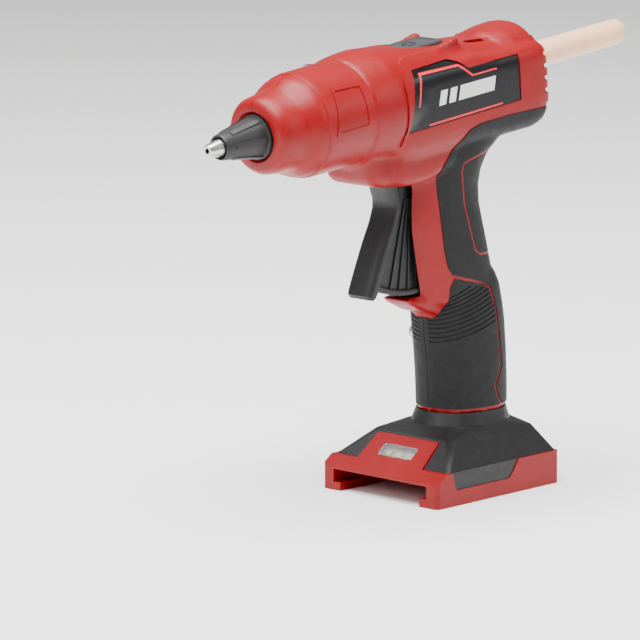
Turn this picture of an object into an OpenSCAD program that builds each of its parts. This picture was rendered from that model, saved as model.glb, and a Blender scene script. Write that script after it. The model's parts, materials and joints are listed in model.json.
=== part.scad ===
// Cordless hot-melt glue gun with a trigger feed, standing on its battery foot.
// Millimetres. +X points to the nozzle, +Y to the gun's left, +Z up.
// The origin is in the mid-plane on the foot's bottom face, half the channel's length behind the foot's front.

/* [Barrel] */
// Distance of the nozzle tip ahead of the foot's centre
tip_x = 139.2; // [138:0.1:140]
// Height of the nozzle tip above the foot's bottom face
tip_z = 158.3; // [158:0.1:159]
// Diameter of the glue stick
stick_d = 11.2; // [10.8:0.1:11.3]
// Length of the glue stick in the gun, partly used
stick_len = 192; // [150:1:200]
// How far the front end of the stick lies behind the nozzle tip
stick_front = 62; // [60:1:70]

/* [Housing] */
// Half width of the body behind the barrel
body_half_w = 22; // [21.5:0.1:22.5]
// Half width of the upper handle
upper_half_w = 16; // [15.8:0.1:16.4]
// Half width of the lower handle
lower_half_w = 17; // [16.6:0.1:17.4]
// Wall thickness of the two shells
wall = 2.4; // [2.2:0.1:2.6]
// Thickness of the soft grip layer
grip_t = 1.6; // [1.4:0.1:1.8]

/* [Trigger] */
// Trigger pivot ahead of the foot's centre
pivot_x = 24; // [23.8:0.1:24.2]
// Height of the trigger pivot
pivot_z = 141; // [140.8:0.1:141.2]
// Full pull of the trigger, degrees
pull = 16; // [12:1:16]

/* [Foot] */
// Length of the foot ahead of the origin
foot_front = 37.5; // [37:0.1:38]
// Length of the foot behind the origin
foot_rear = 40; // [39.6:0.1:40.4]
// Width of the foot
foot_wid = 66; // [65:1:67]
// Height of the foot's lower frame
base_h = 14.2; // [14:0.1:14.5]

/* [Hidden] */

tilt = 5.9;             // nose-down angle of the feed axis
stick_r = stick_d / 2;
tail_s = -183.2;        // rear face, measured along the feed axis from the tip
far = 300;              // longer than any cut
eps = 0.01;
shell_red = "#b8102a";
soft_black = "#2b2b2b";
hard_black = "#3a3a3c";

// The lever arm is the pivot's distance from the feed axis, and lever_s its foot along that axis.
lever = (tip_z - pivot_z + (tip_x - pivot_x) * tan(tilt)) * cos(tilt);
lever_s = -(tip_x - pivot_x) / cos(tilt) + lever * tan(tilt);
drive_s = lever_s - lever * tan(pull / 2);
pivot_r = 3;
hub_r = 5;
drive_pin_r = 1.9;
arc_r = 55;             // lower edge of the trigger's web, about the pivot
slot_half_w = 7.4;      // half width of the opening that the web runs in

// Barrel radii along the feed axis: [distance ahead of the tip, radius]
barrel_line = [[-27.3, 13.2], [-28.4, 14.4], [-33, 16.2], [-38, 17.4], [-41, 18.6], [-44.5, 20.4],
               [-47, 21.1], [-49.3, 21.3], [-50.3, 21.8], [-70, 22], [-76, 22.6], [-82, 23.3], [-90, 23.6],
               [-100, 21.5]];
barrel_front = barrel_line[0][0];
mouth_r = 9.7;

// Outline of body and handle in the mid-plane, [x, z], clockwise from the barrel's top
side_line = [[70, 187.6], [58, 191.3], [40, 191], [8, 190], [-9, 188.9], [-16, 191], [-24, 193.2],
             [-34, 195], [-40.8, 195.2], [-44.9, 156.8], [-43.6, 153.2], [-38, 151.2], [-30, 149.6],
             [-22, 146.6], [-17.5, 142], [-15.6, 136], [-14.6, 128], [-16.4, 119], [-21.2, 106], [-24, 95],
             [-26, 88], [-31.2, 75], [-33, 66], [-34.5, 33], [12.5, 33], [15, 62], [17.5, 76],
             [19.3, 78.9], [24.6, 83], [24.2, 87], [25.4, 92], [26.8, 100], [29.2, 112], [28.8, 122],
             [27.8, 128], [29.5, 132.6], [33, 134], [40, 133.8], [52, 134.8], [60, 137.6], [64, 142], [70, 144]];
// Ledge under the trigger's web, [x, z]
ledge_line = [[8, 72], [17, 76.5], [28, 82], [29.2, 84.3], [8, 84.3]];
ledge_half_w = 9;
handle_foot_z = 33;

// Screws through the housing: [x, z]
screw_spots = [[92, 147.4], [64, 147.8], [70, 183.3], [-8, 184.4], [-34, 161], [0, 112], [4, 66]];
screw_r = 1.5;
boss_r = 3.2;

// Soft grip outlines seen from the side, [x, z]
grip_line = [[-50, 161.3], [-19, 159.2], [0, 157.2], [6, 155], [10, 150.2], [17.5, 141.3], [18.6, 138.2],
             [17.5, 129], [13, 104.2], [11, 97], [8.5, 93.6], [-8.5, 88.8], [-13.5, 86.2], [-16, 77],
             [-19.6, 51.5], [-14.5, 43.5], [-16.5, 38], [-20, 34.8], [-50, 34.8], [-50, 120]];
pad_line = [[-50, 145], [-11.5, 144.2], [1.2, 141.7], [4.8, 140.2], [5.4, 137], [3.2, 124.2], [-4, 103.2],
            [-7, 101.3], [-50, 97.5]];
lower_line = [[30, 34.8], [30, 70], [10, 74], [9, 84], [9, 88], [7.4, 91.8], [-8.8, 87.8], [-12.5, 85.5],
              [-15, 77], [-18.4, 51.8], [-13.2, 43.5], [-15.2, 38.5], [-18, 34.8]];
line_gap = 0.7;         // red line left between neighbouring grips

// Side panel outline, [x, z]
panel_line = [[39.6, 183.3], [44, 157.6], [-25.5, 165], [-23.8, 184.6], [7.5, 181.6], [12, 184.6],
              [16, 185.6]];
panel_t = 0.8;

// Power button on the body's top, in feed-axis coordinates
button_s = -121.9;
button_len = 27.4;
button_wid = 14.4;
button_top = 20.4;      // distance of the button's face from the feed axis
button_travel = 1.2;
button_flange = [12.9, 13.8];   // heights above the feed axis
board_top = 10.6;

// Battery channel in the foot
dock_rear = -30;
dock_half_w = 26.5;
dock_mouth_half_w = 22.6;
rail_t = 3.6;
roof_z = 9.1;
nose_z = 10.2;          // height of the front face, below its sloping top

// ---------------------------------------------------------------- placing and profiles

module on_axis() {
    translate([tip_x, 0, tip_z]) rotate([0, tilt, 0]) children();
}

// The trigger's own frame at rest: +Z runs from the pivot to the drive pins
module on_lever() {
    translate([pivot_x, 0, pivot_z]) rotate([0, tilt - pull / 2, 0]) children();
}

// Solid of revolution about the feed axis; points are [distance ahead of the tip, radius]
module turned(points) {
    on_axis() rotate([0, 90, 0]) rotate_extrude($fn = 64) polygon([for (p = points) [p[1], p[0]]]);
}

// Box in feed-axis coordinates
module axis_box(s, y, z) {
    on_axis() translate([s[0], y[0], z[0]]) cube([s[1] - s[0], y[1] - y[0], z[1] - z[0]]);
}

// Cylinder across the gun at [x, z], from y[0] to y[1]
module cross_rod(spot, r, y) {
    translate([spot[0], y[1], spot[1]]) rotate([90, 0, 0]) cylinder(h = y[1] - y[0], r = r, $fn = 48);
}

// Cylinder across the gun at a place given in feed-axis coordinates
module axis_rod(s, z, r, y) {
    on_axis() translate([s, y[1], z]) rotate([90, 0, 0]) cylinder(h = y[1] - y[0], r = r, $fn = 48);
}

// Side outline made solid between y[0] and y[1]
module slab(outline, y) {
    translate([0, y[1], 0]) rotate([90, 0, 0]) linear_extrude(y[1] - y[0]) polygon(outline);
}

module round_rect(w, h, r) {
    square([w - 2 * r, h], center = true);
    square([w, h - 2 * r], center = true);
    for (x = [-1, 1], y = [-1, 1]) translate([x * (w / 2 - r), y * (h / 2 - r)]) circle(r = r, $fn = 48);
}

// Round section swept along a path; up is never parallel to the path
function unit(v) = v / norm(v);
function path_dir(p, i) = unit(p[min(i + 1, len(p) - 1)] - p[max(i - 1, 0)]);
module swept(path, r, up, sides = 8) {
    n = len(path);
    rings = [for (i = [0:n - 1])
        let (t = path_dir(path, i), a = unit(cross(t, up)), b = cross(a, t))
        for (k = [0:sides - 1]) path[i] + r * (cos(360 * k / sides) * a + sin(360 * k / sides) * b)];
    skin = [for (i = [0:n - 2], k = [0:sides - 1])
        let (k2 = (k + 1) % sides)
        [i * sides + k, i * sides + k2, (i + 1) * sides + k2, (i + 1) * sides + k]];
    first = [for (k = [sides - 1:-1:0]) k];
    last = [for (k = [0:sides - 1]) (n - 1) * sides + k];
    polyhedron(points = rings, faces = concat([first], skin, [last]));
}

// Helical spring along +Z from z = 0
module coil(r, wire_r, height, turns, steps = 14) {
    total = turns * steps;
    path = [for (i = [0:total])
        [r * cos(360 * i / steps), r * sin(360 * i / steps), wire_r + (height - 2 * wire_r) * i / total]];
    swept(path, wire_r, [0, 0, 1], 6);
}

// ---------------------------------------------------------------- housing

// Outer form of barrel, body and handle, inset by i all round
module barrel_form(i) {
    front = i > 0 ? barrel_front - i : barrel_front;
    turned(concat([[front, 0]],
                  [for (p = barrel_line) [min(p[0], front), p[1] - i]],
                  [[-100, 0]]));
}

module section_along_axis(w, z, r, s) {
    on_axis() translate([s[0], 0, (z[0] + z[1]) / 2]) rotate([90, 0, 90])
        linear_extrude(s[1] - s[0]) round_rect(w, z[1] - z[0], r);
}

module leaning(x, z, lean, length) {
    translate([x, 0, z]) rotate([0, lean, 0]) linear_extrude(length) children();
}

// Sections of the handle, inset by i: a round back with a narrower nose, and two round ends
module upper_section(i) {
    circle(r = upper_half_w - i, $fn = 64);
    translate([9, 0]) circle(r = upper_half_w - 1.4 - i, $fn = 64);
    translate([17, 0]) round_rect(35 - 2 * i, 24 - 2 * i, 9.5 - i);
}

module lower_section(i) {
    for (x = [-3.6, 3.6]) translate([x, 0]) circle(r = lower_half_w - i, $fn = 64);
    square([7.2, 2 * (lower_half_w - i)], center = true);
}

module gun_form(i) {
    barrel_form(i);
    intersection() {
        rotate([90, 0, 0]) linear_extrude(far, center = true) offset(delta = -i) polygon(side_line);
        union() {
            section_along_axis(2 * (body_half_w - i), [-25 + i, 14.5 - i], 6 - i, [-200, -86]);
            turned([[-200, 0], [-200, 19.4 - i], [-141, 19.4 - i], [-141, 21.6 - i], [-88, 21.6 - i], [-88, 0]]);
            section_along_axis(2 * (18 - i), [-44 + i, 0], 11 - i, [-136, -74]);
            leaning(-10.9, 78, 17, 84) upper_section(i);
            leaning(-11.9, 28, 4.6, 62) lower_section(i);
        }
    }
}

// Layer of the form between its surface and depth t, within a side outline, on one side of the mid-plane
module skin_layer(outline, side, t) {
    difference() {
        intersection() {
            gun_form(0);
            side_region(outline, side);
        }
        gun_form(t);
    }
}

module side_region(outline, side) {
    if (side > 0) slab(outline, [0, 30]);
    else slab(outline, [-30, 0]);
}

module half_space(side) {
    translate([-far / 2, side > 0 ? 0 : -far, -far / 2]) cube([far, far, 2 * far]);
}

// Ridges that guard the power button
module button_ridges() {
    for (y = [-12.6, 8.8])
        slab([[42, 189], [4, 192.9], [0, 191.5], [-1, 188], [40, 186]], [y, y + 3.8]);
}

module housing(side) {
    head_side = side < 0;
    difference() {
        union() {
            difference() {
                union() {
                    gun_form(0);
                    button_ridges();
                    ledge();
                }
                gun_form(wall + grip_t / 2);
            }
            intersection() {
                gun_form(1);
                for (p = screw_spots) cross_rod(p, boss_r, [-21, 21]);
            }
            intersection() {
                gun_form(1);
                for (y = [[-20, -13], [16, 20]]) cross_rod([pivot_x, pivot_z], 5.6, y);
            }
        }
        half_space(-side);
        grip_recess(side);
        turned([[10, 0], [10, mouth_r], [-32, mouth_r], [-32, 0]]);
        turned([[tail_s - 9, 0], [tail_s - 9, 8.4], [tail_s + 6, 8.4], [tail_s + 6, 0]]);
        trigger_slot();
        cross_rod([pivot_x, pivot_z], hub_r + 0.5, [-13, 16]);
        button_opening();
        tail_grooves();
        translate([-12, 0, handle_foot_z - 1]) linear_extrude(8) round_rect(26, 20, 6);
        cross_rod([pivot_x, pivot_z], pivot_r + 0.03, [-16.6, 16.6]);
        for (p = screw_spots) {
            cross_rod(p, head_side ? screw_r + 0.2 : screw_r + 0.02, [-30, 11]);
            if (head_side) cross_rod(p, 3.1, [-30, head_seat(p)]);
        }
        panel_recess(side);
    }
}

// Where each screw head sits, on the right side
function head_seat(p) = p[0] > 60 ? -9.4 : p[1] > 140 ? -14.5 : -9.6;

module ledge() {
    slab(ledge_line, [-ledge_half_w, ledge_half_w]);
}

module grip_recess(side) {
    difference() {
        union() {
            side_region(grip_line, side);
            side_region(lower_line, side);
        }
        gun_form(grip_t);
    }
}

module panel_recess(side) {
    y = body_half_w - panel_t;
    if (side > 0) slab(panel_line, [y, 30]);
    else slab(panel_line, [-30, -y]);
}

// Room for the web of the trigger and for its blade's root
module trigger_slot() {
    slab([[24, 141], [37, 136], [45, 136], [45, 84.9], [10, 84.9], [-12, 90], [-18, 104], [8, 141]],
         [-slot_half_w, slot_half_w]);
    slab([[22, 139], [47, 139], [47, 128], [22, 128]], [-slot_half_w, slot_half_w]);
}

module button_opening() {
    on_axis() translate([button_s, 0, 14]) linear_extrude(20)
        round_rect(button_len + 0.8, button_wid + 0.8, 3.4);
}

module tail_grooves() {
    for (k = [0:4])
        for (side = [-1, 1])
            on_axis() translate([tail_s - 1, side * (body_half_w - 1.4) - (side < 0 ? 10 : 0), 10 - 4.7 * k])
                cube([2.6, 10, 2]);
}

module housing_left() {
    color(shell_red) housing(1);
}

module housing_right() {
    color(shell_red) housing(-1);
}

// ---------------------------------------------------------------- soft grips and panels

// Holes over the screw heads on the right side
module head_holes(side) {
    if (side < 0) for (p = screw_spots) cross_rod(p, 3.1, [-30, -9]);
}

module grip(side) {
    color(soft_black) difference() {
        skin_layer(grip_line, side, grip_t);
        rotate([90, 0, 0]) linear_extrude(far, center = true) polygon(pad_line);
        head_holes(side);
    }
}

module palm_pad(side) {
    color(soft_black) difference() {
        intersection() {
            skin_layer(grip_line, side, grip_t);
            rotate([90, 0, 0]) linear_extrude(far, center = true) offset(delta = -line_gap) polygon(pad_line);
        }
        head_holes(side);
    }
}

module lower_grip(side) {
    color(soft_black) difference() {
        skin_layer(lower_line, side, grip_t);
        head_holes(side);
    }
}

module grip_left() {
    grip(1);
}

module grip_right() {
    grip(-1);
}

module palm_pad_left() {
    palm_pad(1);
}

module palm_pad_right() {
    palm_pad(-1);
}

module lower_grip_left() {
    lower_grip(1);
}

module lower_grip_right() {
    lower_grip(-1);
}

module side_panel(side) {
    y = body_half_w - panel_t;
    color("#26262b") slab(panel_line, side > 0 ? [y, body_half_w] : [-body_half_w, -y]);
}

module side_panel_left() {
    side_panel(1);
}

module side_panel_right() {
    side_panel(-1);
}

// ---------------------------------------------------------------- power button

switch_h = 1;

module power_button() {
    color("#4a4c50") {
        on_axis() translate([button_s, 0, button_flange[1] - eps])
            linear_extrude(button_top - button_flange[1] + eps) round_rect(button_len, button_wid, 3);
        on_axis() translate([button_s, 0, button_flange[0]])
            linear_extrude(button_flange[1] - button_flange[0])
            round_rect(button_len + 1.8, button_wid + 1.8, 3.8);
        on_axis() translate([button_s, 0, board_top + switch_h + button_travel + 0.05])
            cylinder(h = 1, r = 2, $fn = 32);
    }
}

module button_spring() {
    color("silver") on_axis() translate([button_s, 0, board_top])
        coil(4.4, 0.25, button_flange[0] - board_top, 2);
}

module button_board() {
    color("#1f6b3c") on_axis() translate([button_s - 14, -8.5, board_top - 1]) cube([28, 17, 1]);
    color("#222222") on_axis() translate([button_s - 2.5, -2.5, board_top - eps])
        cube([5, 5, switch_h + eps]);
}

// ---------------------------------------------------------------- nozzle and heater

module nozzle() {
    color("#c9c9cc") turned([[0, 1.1], [0, 2.1], [-0.5, 2.5], [-8.8, 4.2], [-17, 4.2], [-17, 6], [-24, 6], [-24, 4.98],
                             [-37, 4.98], [-37, 1.7], [-32, 1.7], [-30, 2.6], [-6, 2.6], [-4.5, 1.1]]);
}

module nozzle_sleeve() {
    color(hard_black) {
        turned([[-6.8, 4.4], [-6.6, 5], [-7.4, 5.4], [-26.5, 8.4], [-27, 9.3], [-30.6, 9.3],
                [-30.6, 10.9], [-33, 10.9], [-33, 6.2], [-16.8, 6.2], [-16.8, 4.4]]);
        sleeve_ribs();
    }
}

// Six low ribs along the sleeve
module sleeve_ribs() {
    intersection() {
        turned([[-11, 5.9], [-11, 6.3], [-25, 8.8], [-26.6, 8.9], [-26.6, 7]]);
        on_axis() for (k = [0:5]) rotate([60 * k + 30, 0, 0]) translate([-27, -1, 5]) cube([17, 2, 6]);
    }
}

valve_s = -28.2;

module valve_ball() {
    color("silver") on_axis() translate([valve_s, 0, 0]) sphere(r = 2.1, $fn = 32);
}

module valve_spring() {
    color("silver") on_axis() translate([valve_s + 2.2, 0, 0]) rotate([0, 90, 0]) coil(1.9, 0.3, 18, 9, 10);
}

bore_r = 5.9;

module heating_chamber() {
    color("#b9bbbf") difference() {
        union() {
            turned([[-33.4, 0], [-33.4, 7.6], [-38, 9], [-92, 9], [-92, 0]]);
            axis_box([-84, -56], [-10.5, 10.5], [-6.5, 6.5]);
        }
        turned([[-33, 0], [-33, 5.03], [-37.1, 5.03], [-37.1, 1.8], [-39, 1.8], [-50, bore_r], [-93, bore_r],
                [-93, 0]]);
    }
}

module heater_plates() {
    color("#d8d4c8") for (y = [[-12.9, -10.5], [10.5, 12.9]]) axis_box([-82, -58], y, [-6, 6]);
}

module heater_clip() {
    color("#8f9296") intersection() {
        turned([[-60, 0], [-60, 18.6], [-80, 18.6], [-80, 0]]);
        union() {
            for (y = [[-13.4, -12.9], [12.9, 13.4]]) axis_box([-78, -62], y, [-8, 13.7]);
            axis_box([-78, -62], [-13.2, 13.2], [13.2, 13.7]);
        }
    }
}

module thermal_fuse() {
    color("#d9d9d9") on_axis() translate([-76, 0, 11.05]) rotate([0, 90, 0]) cylinder(h = 12, r = 2, $fn = 32);
}

// Ring round the chamber, held by four spokes against the housing
module cradle(s, reach) {
    color("#6f5a3c") difference() {
        union() {
            turned([[s[0], 0], [s[0], 12], [s[1], 12], [s[1], 0]]);
            intersection() {
                turned([[s[0], 0], [s[0], reach], [s[1], reach], [s[1], 0]]);
                on_axis() for (a = [45, 135]) rotate([a, 0, 0]) translate([s[1] - 1, -1.5, -far / 2])
                    cube([20, 3, far]);
            }
        }
        turned([[s[0] + 1, 0], [s[0] + 1, 9.03], [s[1] - 1, 9.03], [s[1] - 1, 0]]);
    }
}

module front_cradle() {
    cradle([-40, -45], 15.1);
}

module rear_cradle() {
    cradle([-86.5, -91], 19.9);
}

module inlet_sleeve() {
    color("#b5562a") turned([[-92.1, bore_r], [-92.1, 8], [-104, 8], [-104, 6.6], [-101, bore_r]]);
}

module stick_guide() {
    color(hard_black) turned([[-150, 6.3], [-150, 8.1], [tail_s + 6.2, 8.1], [tail_s + 6.2, 10.6],
                              [tail_s + 4.2, 10.6], [tail_s + 4.2, 8.2], [tail_s, 8.2], [tail_s, 7.4],
                              [tail_s + 5, 6.3]]);
}

module glue_stick() {
    color("#f3e3d2") turned([[-stick_front, 0], [-stick_front, stick_r], [-stick_front - stick_len, stick_r],
                             [-stick_front - stick_len, 0]]);
}

// ---------------------------------------------------------------- feed mechanism

carriage = [drive_s - 11, drive_s + 2.6];
jaw_s = drive_s - 7;
jaw_z = -10.5;
jaw_pin_r = 1.5;

module feed_carriage() {
    color("#50545a") difference() {
        union() {
            turned([[carriage[1], 0], [carriage[1], 9.2], [carriage[0], 9.2], [carriage[0], 0]]);
            axis_box(carriage, [-8, 8], [-13.8, 0]);
            axis_rod(drive_s, 0, drive_pin_r, [-13, 13]);
        }
        turned([[carriage[1] + 1, 0], [carriage[1] + 1, 6.2], [carriage[0] - 1, 6.2], [carriage[0] - 1, 0]]);
        axis_box([carriage[0] - 1, drive_s - 0.6], [-4.9, 4.9], [-20, 0]);
        axis_rod(jaw_s, jaw_z, jaw_pin_r + 0.02, [-20, 20]);
    }
}

module jaw_pin() {
    color("silver") axis_rod(jaw_s, jaw_z, jaw_pin_r, [-8, 8]);
}

module gripper_jaw() {
    color("#9a9da1") difference() {
        union() {
            axis_rod(jaw_s, jaw_z, 3, [-4.5, 4.5]);
            on_axis() translate([jaw_s, 4.5, jaw_z]) rotate([90, 0, 0]) linear_extrude(9)
                polygon([[-2.2, -2], [0, -2.9], [3, -0.5], [5.2, 2.6], [4.6, 4.2], [3.6, 3.1], [2.6, 4.2],
                         [1.6, 3.1], [0.6, 4.0], [-2.4, 1.5]]);
        }
        axis_rod(jaw_s, jaw_z, jaw_pin_r + 0.05, [-20, 20]);
    }
}

module trigger() {
    color(hard_black) difference() {
        union() {
            cross_rod([pivot_x, pivot_z], hub_r, [-12.5, 12.5]);
            fork_arms();
            trigger_blade();
            trigger_web();
        }
        cross_rod([pivot_x, pivot_z], pivot_r + 0.06, [-20, 20]);
    }
}

// Two arms that straddle the stick and drive the carriage's pins
module fork_arms() {
    for (y = [-12.5, 10])
        on_lever() difference() {
            translate([-4.6, y, 0]) cube([9.2, 2.5, lever + 4.5]);
            translate([-drive_pin_r - 0.25, y - 1, lever - 3]) cube([2 * drive_pin_r + 0.5, 5, far]);
        }
}

module trigger_blade() {
    slab([[41, 134.6], [38.2, 131.2], [36.2, 127], [35.9, 123.5], [38, 118], [42.5, 109.5], [47, 99.5],
          [51, 90.8], [51, 88], [49, 86.6], [46, 87.2], [43.6, 91], [40.6, 98.5], [36.8, 107.5],
          [33.4, 115], [31.8, 121], [31.8, 128], [33.6, 134.6]], [-6.6, 6.6]);
    slab([[20.5, 138], [27, 137], [31, 132], [33.8, 134.5], [40, 134.5], [37, 136.2], [28, 145.5], [22, 145]],
         [-7, 7]);
}

// Fan behind the blade: a plate with a thicker lower rim and radial ribs
module trigger_web() {
    intersection() {
        slab([[pivot_x, pivot_z], [pivot_x - 13, pivot_z - 52], [pivot_x - 12, pivot_z - 60],
              [43, 80], [45, 90], [37.5, 105], [32, 120], [32, 130]], [-7, 7]);
        difference() {
            cross_rod([pivot_x, pivot_z], arc_r, [-6.6, 6.6]);
            for (y = [[-8, -5], [5, 8]]) cross_rod([pivot_x, pivot_z], arc_r - 2.4, y);
        }
    }
    for (a = [-17, -11, -5, 1, 7])
        translate([pivot_x, -5.5, pivot_z]) rotate([0, a + 3, 0]) translate([-0.5, 0, -arc_r + 1])
            cube([1, 11, 38]);
}

module trigger_pin() {
    color("silver") cross_rod([pivot_x, pivot_z], pivot_r, [-16.4, 16.4]);
}

// Torsion spring beside the fork, on the pin, with one leg against the housing
module trigger_spring() {
    color("silver") translate([pivot_x, 12.7, pivot_z]) rotate([-90, 0, 0]) coil(3.9, 0.35, 3.1, 3);
}

// ---------------------------------------------------------------- electrics

module control_board() {
    color("#1f6b3c") translate([-23, 3, 42]) cube([22, 1.6, 38]);
}

module board_components() {
    color("#1c1c1e") {
        translate([-20, -1.4, 64]) cube([10, 4.4, 12]);
        translate([-7, 3, 50]) rotate([90, 0, 0]) cylinder(h = 9, r = 4, $fn = 32);
        translate([-20, 0.6, 46]) cube([7, 2.4, 7]);
    }
}

module heater_wires() {
    color("#c8322c") for (y = [-1, 1])
        swept([[-10, y * 6.4, 79], [-10.5, y * 7, 92], [-8, y * 7.2, 110], [-1, y * 7.6, 128],
               [4.5, y * 7.6, 142], [8.5, y * 8, 150], [13, y * 12.5, 155.5], [24, y * 16, 157.6], [44, y * 17, 160],
               [58, y * 15, 161], [66, y * 15, 163.2]], 0.8, [0, 1, 0]);
}

module supply_wires() {
    color("#1c1c1e") for (y = [-1, 1])
        swept([[-24, y * 7, 14.3], [-23.5, y * 7, 22], [-20, y * 7.4, 30], [-17, y * 7.6, 38], [-16, y * 7.6, 46]],
              1, [0, 1, 0]);
}

// ---------------------------------------------------------------- foot

module foot_outline(i) {
    y = foot_wid / 2 - i;
    polygon([[foot_front - i, y - 1.5], [foot_front - i - 1.5, y], [-foot_rear + i + 1.5, y],
             [-foot_rear + i, y - 1.5], [-foot_rear + i, -y + 1.5], [-foot_rear + i + 1.5, -y],
             [foot_front - i - 1.5, -y], [foot_front - i, -y + 1.5]]);
}

module cover_slice(x, y, z, r) {
    translate([(x[0] + x[1]) / 2, 0, z]) linear_extrude(0.1) round_rect(x[1] - x[0], 2 * y, r);
}

// Cover from the foot's top up to the handle, inset by i
module cover_form(i) {
    hull() {
        cover_slice([-foot_rear + 1 + i, 30 - i], foot_wid / 2 - 1 - i, base_h, 2);
        cover_slice([-34 + i, 19.5 - i], 22.4 - i, 24.5 - i, 4 - i);
    }
    hull() {
        cover_slice([-34 + i, 19.5 - i], 22.4 - i, 24.5 - i, 4 - i);
        cover_slice([-33 + i, 11 - i], 18.4 - i, 27.6 - i, 17.8 - i);
    }
    hull() {
        cover_slice([-33 + i, 11 - i], 18.4 - i, 27.5 - i, 17.8 - i);
        cover_slice([-31.6 + i, 8.8 - i], 17 - i, handle_foot_z - 0.1, 16.8 - i);
    }
}

// Flaps of the cover that reach down the foot's sides
flap_line = [[28, base_h + 0.2], [26.6, 9], [25.4, 6.8], [-7.6, 6.8], [-10, 9], [-13.6, base_h + 0.2]];

module foot_cover() {
    color(hard_black) difference() {
        union() {
            cover_form(0);
            for (y = [[-foot_wid / 2 + 0.4, -foot_wid / 2 + 3], [foot_wid / 2 - 3, foot_wid / 2 - 0.4]])
                slab(flap_line, y);
        }
        difference() {
            translate([0, 0, -eps]) cover_form(2.2);
            for (p = foot_spots) translate([p[0], p[1], base_h - 1]) cylinder(h = 10, r = 3, $fn = 32);
        }
        bezel_form(0.15);
        translate([-12, 0, handle_foot_z - 7]) linear_extrude(12) round_rect(26, 20, 6);
        for (p = foot_spots) translate([p[0], p[1], 0]) cylinder(h = 16.1, r = 1.32, $fn = 32);
    }
}

foot_spots = [[-31.5, 26.4], [-31.5, -26.4], [12, 26.4], [12, -26.4]];

// Sloping front bezel round the lamp window
bezel_low = [31.6, 14.2];
bezel_top = [19.6, 23.8];
lamp_lean = atan((bezel_top[1] - bezel_low[1]) / (bezel_low[0] - bezel_top[0]));

module bezel_form(i) {
    intersection() {
        slab([[bezel_low[0] + i, base_h - eps], [bezel_top[0] + i, bezel_top[1] + i], [12 - i, bezel_top[1] + i],
              [12 - i, base_h - eps]], [-26, 26]);
        rotate([90, 0, 90]) linear_extrude(60)
            polygon([[-18.6 - i, base_h - 1], [-17 - i, bezel_top[1] + 1], [17 + i, bezel_top[1] + 1],
                     [18.6 + i, base_h - 1]]);
    }
}

// Frame of the lamp window: +Z leaves the bezel's face at its middle
module on_bezel() {
    translate([(bezel_low[0] + bezel_top[0]) / 2 + 0.5, 0, (bezel_low[1] + bezel_top[1]) / 2 - 0.4])
        rotate([0, lamp_lean, 0]) children();
}

module foot_base() {
    color(shell_red) difference() {
        union() {
            difference() {
                linear_extrude(base_h) foot_outline(0);
                slab([[foot_front + 1, nose_z - 0.7], [bezel_low[0], base_h], [bezel_low[0], base_h + 3],
                      [foot_front + 1, base_h + 3]], [-50, 50]);
            }
            bezel_form(0);
        }
        translate([dock_rear, -dock_half_w, rail_t]) cube([far, 2 * dock_half_w, roof_z - rail_t]);
        translate([dock_rear, -dock_mouth_half_w, -1]) cube([far, 2 * dock_mouth_half_w, rail_t + 2]);
        translate([-28, -20, 0]) cube([18, 40, 20]);
        on_bezel() translate([-3.4, -9.6, -3]) cube([6.8, 19.2, 10]);
        on_bezel() translate([-4.8, -11.05, -6.4]) cube([8.8, 22.1, 3.6]);
        for (y = [[-foot_wid / 2 - 1, -foot_wid / 2 + 3.1], [foot_wid / 2 - 3.1, foot_wid / 2 + 1]])
            slab([for (p = flap_line) [p[0] + (p[0] > 0 ? 0.1 : -0.1), p[1] < 7 ? 6.7 : p[1] + eps]], y);
        for (p = foot_spots) translate([p[0], p[1], -1]) cylinder(h = 30, r = 1.6, $fn = 32);
        for (p = foot_spots) translate([p[0], p[1], -1]) cylinder(h = 3.6, r = 3, $fn = 32);
    }
}

module led_lens() {
    color("#e8f0f4") on_bezel() translate([0, 0, -2.2]) linear_extrude(2.3) round_rect(6.7, 19.1, 0.8);
}

module led_board() {
    color("#e4e4e0") on_bezel() translate([-4.6, -11, -5.4]) cube([8.4, 22, 1]);
}

module led_lamps() {
    color("#f0d860") on_bezel() for (y = [-6, 0, 6]) translate([-1.4, y - 1.4, -4.4]) cube([2.8, 2.8, 1.2]);
}

module terminal_block() {
    color("#1c1c1e") translate([-27.8, -19.8, 4]) cube([9, 39.6, 9.6]);
}

module terminal_blades() {
    color("#c9a23c") for (y = [-14, -5, 5, 14]) translate([-18.8, y - 0.4, 4.4]) cube([11, 0.8, 4.2]);
}

// ---------------------------------------------------------------- fasteners

module housing_screws() {
    color("#8a8d92") for (p = screw_spots) {
        cross_rod(p, screw_r, [head_seat(p) - eps, 10]);
        difference() {
            cross_rod(p, 2.9, [head_seat(p) - 2, head_seat(p)]);
            translate([p[0], head_seat(p) - 1.1, p[1]]) rotate([90, 0, 0]) cylinder(h = 2, r = 1.3, $fn = 6);
        }
    }
}

module foot_screws() {
    color("#8a8d92") for (p = foot_spots) {
        translate([p[0], p[1], 2.2]) cylinder(h = 13.6, r = 1.3, $fn = 32);
        difference() {
            translate([p[0], p[1], 0.8]) cylinder(h = 1.8, r = 2.8, $fn = 32);
            translate([p[0], p[1], 0]) cylinder(h = 1.8, r = 1.2, $fn = 6);
        }
    }
}

housing_left();
housing_right();
grip_left();
grip_right();
palm_pad_left();
palm_pad_right();
lower_grip_left();
lower_grip_right();
side_panel_left();
side_panel_right();
power_button();
button_spring();
button_board();
nozzle();
nozzle_sleeve();
valve_ball();
valve_spring();
heating_chamber();
heater_plates();
heater_clip();
thermal_fuse();
front_cradle();
rear_cradle();
inlet_sleeve();
stick_guide();
feed_carriage();
jaw_pin();
gripper_jaw();
trigger();
trigger_pin();
trigger_spring();
control_board();
board_components();
heater_wires();
supply_wires();
foot_cover();
foot_base();
led_lens();
led_board();
led_lamps();
terminal_block();
terminal_blades();
housing_screws();
foot_screws();
glue_stick();
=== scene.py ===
import json
import math

import bmesh
import bpy
from mathutils import Matrix, Vector


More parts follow.
